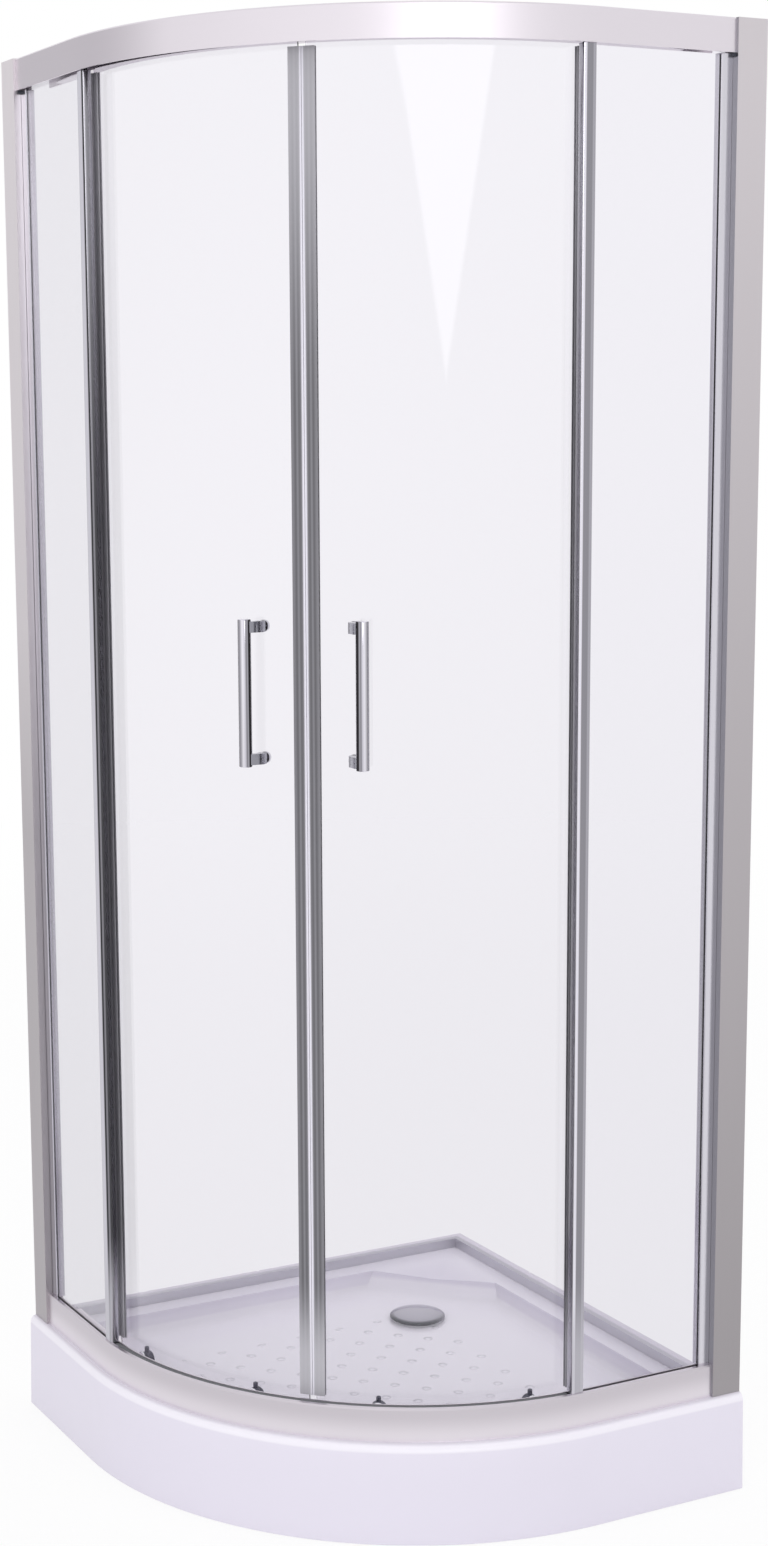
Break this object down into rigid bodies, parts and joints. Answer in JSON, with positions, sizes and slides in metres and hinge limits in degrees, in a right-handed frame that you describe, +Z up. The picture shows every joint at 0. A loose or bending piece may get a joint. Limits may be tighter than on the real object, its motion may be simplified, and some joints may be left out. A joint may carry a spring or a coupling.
{
  "type": "quadrant shower enclosure",
  "caption": "Quadrant shower enclosure on a raised curved tray, with satin rails, flat fixed panes and curved glass doors that slide round on rollers, each with a bar handle.",
  "frame": {"origin": "on the floor under the middle of the square footprint", "axes": "+Z up; the room walls stand on the planes x = +0.4 m and y = +0.4 m and meet at (+0.4, +0.4); the rounded entry faces -X, -Y"},
  "size_m": [0.8, 0.8, 2.07],
  "materials": {
    "acrylic": "gloss",
    "board": "raw",
    "frame_steel": "satin",
    "foot_plastic": "matt",
    "zinc_steel": "satin",
    "waste_plastic": "gloss",
    "cover_chrome": "polished",
    "strip_metal": "satin",
    "rail_metal": "satin",
    "profile_metal": "satin",
    "bright_metal": "polished",
    "fixed_pane": "clear",
    "door_pane": "clear",
    "seal_plastic": "clear",
    "magnet_rubber": "matt",
    "sill_rubber": "matt",
    "stop_rubber": "matt",
    "dark_plastic": "matt",
    "handle_chrome": "polished",
    "nut_chrome": "polished",
    "cap_chrome": "polished",
    "wheel_plastic": "smooth",
    "housing_plastic": "satin",
    "button_plastic": "satin"
  },
  "bodies": {
    "enclosure": {"bottom_rail": "rail_metal", "corner_stops": "dark_plastic", "door_stops": "stop_rubber", "drain_flange": "waste_plastic", "drain_trap": "waste_plastic", "end_profile_left": "bright_metal", "end_profile_right": "bright_metal", "fixed_glass_left": "fixed_pane", "fixed_glass_right": "fixed_pane", "foot_nuts": "zinc_steel", "glazing_profile_left": "bright_metal", "glazing_profile_right": "bright_metal", "leg_frame": "frame_steel", "rail_blocks_bottom": "dark_plastic", "rail_blocks_top": "dark_plastic", "shower_tray": "acrylic", "sill_filler": "sill_rubber", "top_rail": "rail_metal", "tray_board": "board", "tray_feet": "foot_plastic", "wall_profile_left": "profile_metal", "wall_profile_right": "profile_metal", "wall_strip_left": "strip_metal", "wall_strip_right": "strip_metal"},
    "left_door": {"door_glass_left": "door_pane", "magnet_seal_left": "seal_plastic", "magnet_strip_left": "magnet_rubber", "edge_seal_left": "seal_plastic", "handle_bar_left": "handle_chrome", "handle_posts_left": "handle_chrome", "handle_nuts_left": "nut_chrome", "top_roller_brackets_left": "dark_plastic", "roller_caps_left": "cap_chrome", "roller_housing_front_left": "housing_plastic", "roller_housing_rear_left": "housing_plastic"},
    "right_door": {"door_glass_right": "door_pane", "magnet_seal_right": "seal_plastic", "magnet_strip_right": "magnet_rubber", "edge_seal_right": "seal_plastic", "handle_bar_right": "handle_chrome", "handle_posts_right": "handle_chrome", "handle_nuts_right": "nut_chrome", "top_roller_brackets_right": "dark_plastic", "roller_caps_right": "cap_chrome", "roller_housing_front_right": "housing_plastic", "roller_housing_rear_right": "housing_plastic"},
    "left_top_front_wheel": {"top_wheel_front_left": "wheel_plastic"},
    "left_top_rear_wheel": {"top_wheel_rear_left": "wheel_plastic"},
    "left_bottom_front_wheel": {"bottom_wheel_front_left": "wheel_plastic"},
    "left_bottom_rear_wheel": {"bottom_wheel_rear_left": "wheel_plastic"},
    "left_front_button": {"release_button_front_left": "button_plastic"},
    "left_rear_button": {"release_button_rear_left": "button_plastic"},
    "right_top_front_wheel": {"top_wheel_front_right": "wheel_plastic"},
    "right_top_rear_wheel": {"top_wheel_rear_right": "wheel_plastic"},
    "right_bottom_front_wheel": {"bottom_wheel_front_right": "wheel_plastic"},
    "right_bottom_rear_wheel": {"bottom_wheel_rear_right": "wheel_plastic"},
    "right_front_button": {"release_button_front_right": "button_plastic"},
    "right_rear_button": {"release_button_rear_right": "button_plastic"},
    "waste_cover": {"drain_cover": "cover_chrome"}
  },
  "joints": [
    {"name": "left_door_travel", "type": "hinge", "parent": "enclosure", "child": "left_door", "pos_m": [0.25223, 0.19099, 0], "axis": [0, 0, -1], "range_deg": [0, 20.15]},
    {"name": "right_door_travel", "type": "hinge", "parent": "enclosure", "child": "right_door", "pos_m": [0.19099, 0.25223, 0], "axis": [0, 0, 1], "range_deg": [0, 20.15]},
    {"name": "left_top_front_wheel_spin", "type": "hinge", "parent": "left_door", "child": "left_top_front_wheel", "pos_m": [-0.25596, -0.12796, 2.05], "axis": [-0.8251, -0.565, 0], "range_deg": [-30, 1861.7]},
    {"name": "left_top_rear_wheel_spin", "type": "hinge", "parent": "left_door", "child": "left_top_rear_wheel", "pos_m": [-0.33553, 0.07049, 2.05], "axis": [-0.9869, -0.1616, 0], "range_deg": [-30, 1861.7]},
    {"name": "left_bottom_front_wheel_spin", "type": "hinge", "parent": "left_door", "child": "left_bottom_front_wheel", "pos_m": [-0.25596, -0.12796, 0.1725], "axis": [-0.8251, -0.565, 0], "range_deg": [-30, 1861.7]},
    {"name": "left_bottom_rear_wheel_spin", "type": "hinge", "parent": "left_door", "child": "left_bottom_rear_wheel", "pos_m": [-0.33553, 0.07049, 0.1725], "axis": [-0.9869, -0.1616, 0], "range_deg": [-30, 1861.7]},
    {"name": "left_front_button_press", "type": "slide", "parent": "left_door", "child": "left_front_button", "axis": [0, 0, -1], "range_m": [0, 0.003], "stiffness_N_per_m": 300},
    {"name": "left_rear_button_press", "type": "slide", "parent": "left_door", "child": "left_rear_button", "axis": [0, 0, -1], "range_m": [0, 0.003], "stiffness_N_per_m": 300},
    {"name": "right_top_front_wheel_spin", "type": "hinge", "parent": "right_door", "child": "right_top_front_wheel", "pos_m": [-0.12796, -0.25596, 2.05], "axis": [0.565, 0.8251, 0], "range_deg": [-30, 1861.7]},
    {"name": "right_top_rear_wheel_spin", "type": "hinge", "parent": "right_door", "child": "right_top_rear_wheel", "pos_m": [0.07049, -0.33553, 2.05], "axis": [0.1616, 0.9869, 0], "range_deg": [-30, 1861.7]},
    {"name": "right_bottom_front_wheel_spin", "type": "hinge", "parent": "right_door", "child": "right_bottom_front_wheel", "pos_m": [-0.12796, -0.25596, 0.1725], "axis": [0.565, 0.8251, 0], "range_deg": [-30, 1861.7]},
    {"name": "right_bottom_rear_wheel_spin", "type": "hinge", "parent": "right_door", "child": "right_bottom_rear_wheel", "pos_m": [0.07049, -0.33553, 0.1725], "axis": [0.1616, 0.9869, 0], "range_deg": [-30, 1861.7]},
    {"name": "right_front_button_press", "type": "slide", "parent": "right_door", "child": "right_front_button", "axis": [0, 0, -1], "range_m": [0, 0.003], "stiffness_N_per_m": 300},
    {"name": "right_rear_button_press", "type": "slide", "parent": "right_door", "child": "right_rear_button", "axis": [0, 0, -1], "range_m": [0, 0.003], "stiffness_N_per_m": 300},
    {"name": "waste_cover_lift", "type": "slide", "parent": "enclosure", "child": "waste_cover", "axis": [0, 0, 1], "range_m": [0, 0.04]}
  ],
  "couplings": [
    {"joint": "left_top_front_wheel_spin", "follows": "left_door_travel", "ratio": 90.907},
    {"joint": "left_top_rear_wheel_spin", "follows": "left_door_travel", "ratio": 90.907},
    {"joint": "left_bottom_front_wheel_spin", "follows": "left_door_travel", "ratio": 90.907},
    {"joint": "left_bottom_rear_wheel_spin", "follows": "left_door_travel", "ratio": 90.907},
    {"joint": "right_top_front_wheel_spin", "follows": "right_door_travel", "ratio": 90.907},
    {"joint": "right_top_rear_wheel_spin", "follows": "right_door_travel", "ratio": 90.907},
    {"joint": "right_bottom_front_wheel_spin", "follows": "right_door_travel", "ratio": 90.907},
    {"joint": "right_bottom_rear_wheel_spin", "follows": "right_door_travel", "ratio": 90.907}
  ]
}
